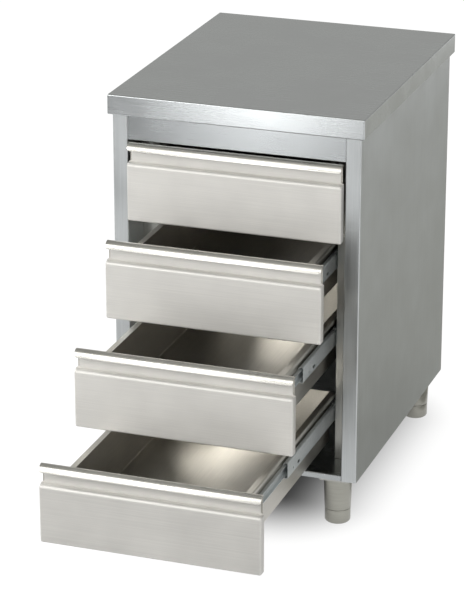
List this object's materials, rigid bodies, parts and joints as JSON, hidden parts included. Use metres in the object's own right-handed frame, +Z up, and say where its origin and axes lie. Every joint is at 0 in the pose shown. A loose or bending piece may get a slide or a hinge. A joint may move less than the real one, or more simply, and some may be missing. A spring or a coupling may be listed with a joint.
{
  "type": "stainless steel drawer cabinet",
  "caption": "Free-standing stainless steel kitchen drawer cabinet: worktop with folded edge, rolled grip lips on drawers with telescopic runners, and levelling feet.",
  "frame": {"origin": "on the floor under the middle of the box that holds the cabinet with its drawers as pictured", "axes": "+Z up, +X to the right seen from the drawer side, the drawers open towards -Y"},
  "size_m": [0.52, 1.123, 0.85],
  "materials": {
    "casing_steel": "satin brushed stainless steel",
    "drawer_steel": "satin brushed stainless steel",
    "foot_steel": "turned and brushed stainless steel",
    "runner_zinc": "bright zinc-plated steel",
    "core_board": "laminated particle board"
  },
  "bodies": {
    "cabinet": {"worktop": "casing_steel", "worktop_core": "core_board", "side_panel_left": "casing_steel", "side_panel_right": "casing_steel", "base_rail_left": "casing_steel", "base_rail_right": "casing_steel", "runner_carrier_left": "casing_steel", "runner_carrier_right": "casing_steel", "back_panel": "casing_steel", "fascia_panel": "casing_steel", "base_panel": "casing_steel", "leg_plate_front_left": "casing_steel", "leg_sleeve_front_left": "foot_steel", "leg_plate_front_right": "casing_steel", "leg_sleeve_front_right": "foot_steel", "leg_plate_rear_left": "casing_steel", "leg_sleeve_rear_left": "foot_steel", "leg_plate_rear_right": "casing_steel", "leg_sleeve_rear_right": "foot_steel", "drawer_1_runner_fixed_left": "runner_zinc", "drawer_1_runner_fixed_right": "runner_zinc", "drawer_2_runner_fixed_left": "runner_zinc", "drawer_2_runner_fixed_right": "runner_zinc", "drawer_3_runner_fixed_left": "runner_zinc", "drawer_3_runner_fixed_right": "runner_zinc", "drawer_4_runner_fixed_left": "runner_zinc", "drawer_4_runner_fixed_right": "runner_zinc"},
    "drawer_1": {"drawer_1_front": "drawer_steel", "drawer_1_back_plate": "drawer_steel", "drawer_1_box": "drawer_steel", "drawer_1_runner_drawer_left": "runner_zinc", "drawer_1_runner_drawer_right": "runner_zinc"},
    "drawer_1_middle_runners": {"drawer_1_runner_middle_left": "runner_zinc", "drawer_1_runner_middle_right": "runner_zinc"},
    "drawer_2": {"drawer_2_front": "drawer_steel", "drawer_2_back_plate": "drawer_steel", "drawer_2_box": "drawer_steel", "drawer_2_runner_drawer_left": "runner_zinc", "drawer_2_runner_drawer_right": "runner_zinc"},
    "drawer_2_middle_runners": {"drawer_2_runner_middle_left": "runner_zinc", "drawer_2_runner_middle_right": "runner_zinc"},
    "drawer_3": {"drawer_3_front": "drawer_steel", "drawer_3_back_plate": "drawer_steel", "drawer_3_box": "drawer_steel", "drawer_3_runner_drawer_left": "runner_zinc", "drawer_3_runner_drawer_right": "runner_zinc"},
    "drawer_3_middle_runners": {"drawer_3_runner_middle_left": "runner_zinc", "drawer_3_runner_middle_right": "runner_zinc"},
    "drawer_4": {"drawer_4_front": "drawer_steel", "drawer_4_back_plate": "drawer_steel", "drawer_4_box": "drawer_steel", "drawer_4_runner_drawer_left": "runner_zinc", "drawer_4_runner_drawer_right": "runner_zinc"},
    "drawer_4_middle_runners": {"drawer_4_runner_middle_left": "runner_zinc", "drawer_4_runner_middle_right": "runner_zinc"},
    "glide_front_left": {"leg_glide_front_left": "foot_steel"},
    "glide_front_right": {"leg_glide_front_right": "foot_steel"},
    "glide_rear_left": {"leg_glide_rear_left": "foot_steel"},
    "glide_rear_right": {"leg_glide_rear_right": "foot_steel"}
  },
  "joints": [
    {"name": "drawer_1_slide", "type": "slide", "parent": "cabinet", "child": "drawer_1", "axis": [0, -1, 0], "range_m": [0, 0.5]},
    {"name": "drawer_1_middle_slide", "type": "slide", "parent": "cabinet", "child": "drawer_1_middle_runners", "axis": [0, -1, 0], "range_m": [0, 0.25]},
    {"name": "drawer_2_slide", "type": "slide", "parent": "cabinet", "child": "drawer_2", "axis": [0, -1, 0], "range_m": [-0.1195, 0.3805]},
    {"name": "drawer_2_middle_slide", "type": "slide", "parent": "cabinet", "child": "drawer_2_middle_runners", "axis": [0, -1, 0], "range_m": [-0.0597, 0.1903]},
    {"name": "drawer_3_slide", "type": "slide", "parent": "cabinet", "child": "drawer_3", "axis": [0, -1, 0], "range_m": [-0.2845, 0.2155]},
    {"name": "drawer_3_middle_slide", "type": "slide", "parent": "cabinet", "child": "drawer_3_middle_runners", "axis": [0, -1, 0], "range_m": [-0.1422, 0.1078]},
    {"name": "drawer_4_slide", "type": "slide", "parent": "cabinet", "child": "drawer_4", "axis": [0, -1, 0], "range_m": [-0.4645, 0.0355]},
    {"name": "drawer_4_middle_slide", "type": "slide", "parent": "cabinet", "child": "drawer_4_middle_runners", "axis": [0, -1, 0], "range_m": [-0.2323, 0.0177]},
    {"name": "glide_front_left_level", "type": "slide", "parent": "cabinet", "child": "glide_front_left", "axis": [0, 0, -1], "range_m": [0, 0.025]},
    {"name": "glide_front_right_level", "type": "slide", "parent": "cabinet", "child": "glide_front_right", "axis": [0, 0, -1], "range_m": [0, 0.025]},
    {"name": "glide_rear_left_level", "type": "slide", "parent": "cabinet", "child": "glide_rear_left", "axis": [0, 0, -1], "range_m": [0, 0.025]},
    {"name": "glide_rear_right_level", "type": "slide", "parent": "cabinet", "child": "glide_rear_right", "axis": [0, 0, -1], "range_m": [0, 0.025]}
  ],
  "couplings": [
    {"joint": "drawer_1_middle_slide", "follows": "drawer_1_slide", "ratio": 0.5},
    {"joint": "drawer_2_middle_slide", "follows": "drawer_2_slide", "ratio": 0.5},
    {"joint": "drawer_3_middle_slide", "follows": "drawer_3_slide", "ratio": 0.5},
    {"joint": "drawer_4_middle_slide", "follows": "drawer_4_slide", "ratio": 0.5}
  ]
}
